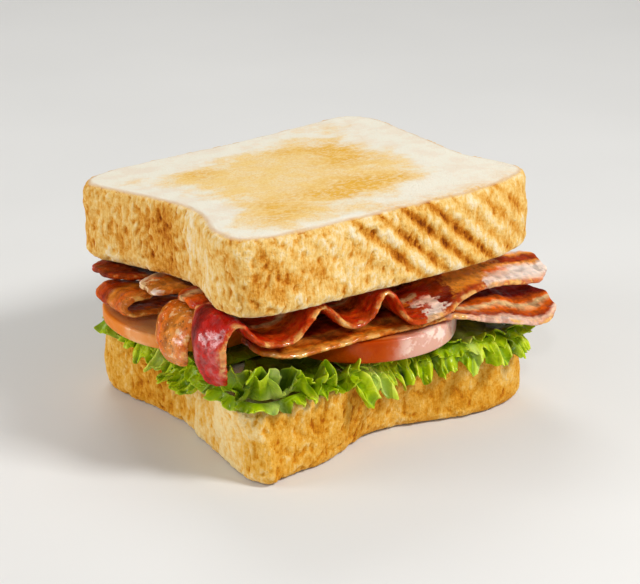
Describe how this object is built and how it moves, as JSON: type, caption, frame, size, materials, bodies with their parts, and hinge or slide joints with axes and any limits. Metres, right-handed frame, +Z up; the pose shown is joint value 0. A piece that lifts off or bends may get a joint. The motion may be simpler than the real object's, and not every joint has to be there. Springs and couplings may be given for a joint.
{
  "type": "bacon lettuce tomato sandwich",
  "caption": "Thick toasted sandwich with crisp bacon rashers, tomato slices and frilly lettuce showing on every side.",
  "frame": {"origin": "middle of the bottom slice's flat underside", "axes": "+Z up; -Y towards the crown edge of both slices, +Y towards their flat base edge; X along the crown edge"},
  "size_m": [0.1375, 0.1205, 0.0829],
  "materials": {
    "toast": "dry toasted bread crust, golden brown, rough",
    "lettuce": "fresh green leaf, slightly moist",
    "tomato": "wet cut tomato with smooth red skin",
    "bacon": "fried bacon, greasy red-brown lean with golden fat"
  },
  "bodies": {
    "root": {"bottom_toast": "toast", "top_toast": "toast", "lettuce_front": "lettuce", "lettuce_right": "lettuce", "lettuce_left": "lettuce", "tomato_right": "tomato", "tomato_left": "tomato", "bacon_front": "bacon", "bacon_right": "bacon", "bacon_crisp": "bacon", "bacon_upper": "bacon", "bacon_middle": "bacon", "bacon_back": "bacon", "bacon_low": "bacon"}
  },
  "joints": []
}
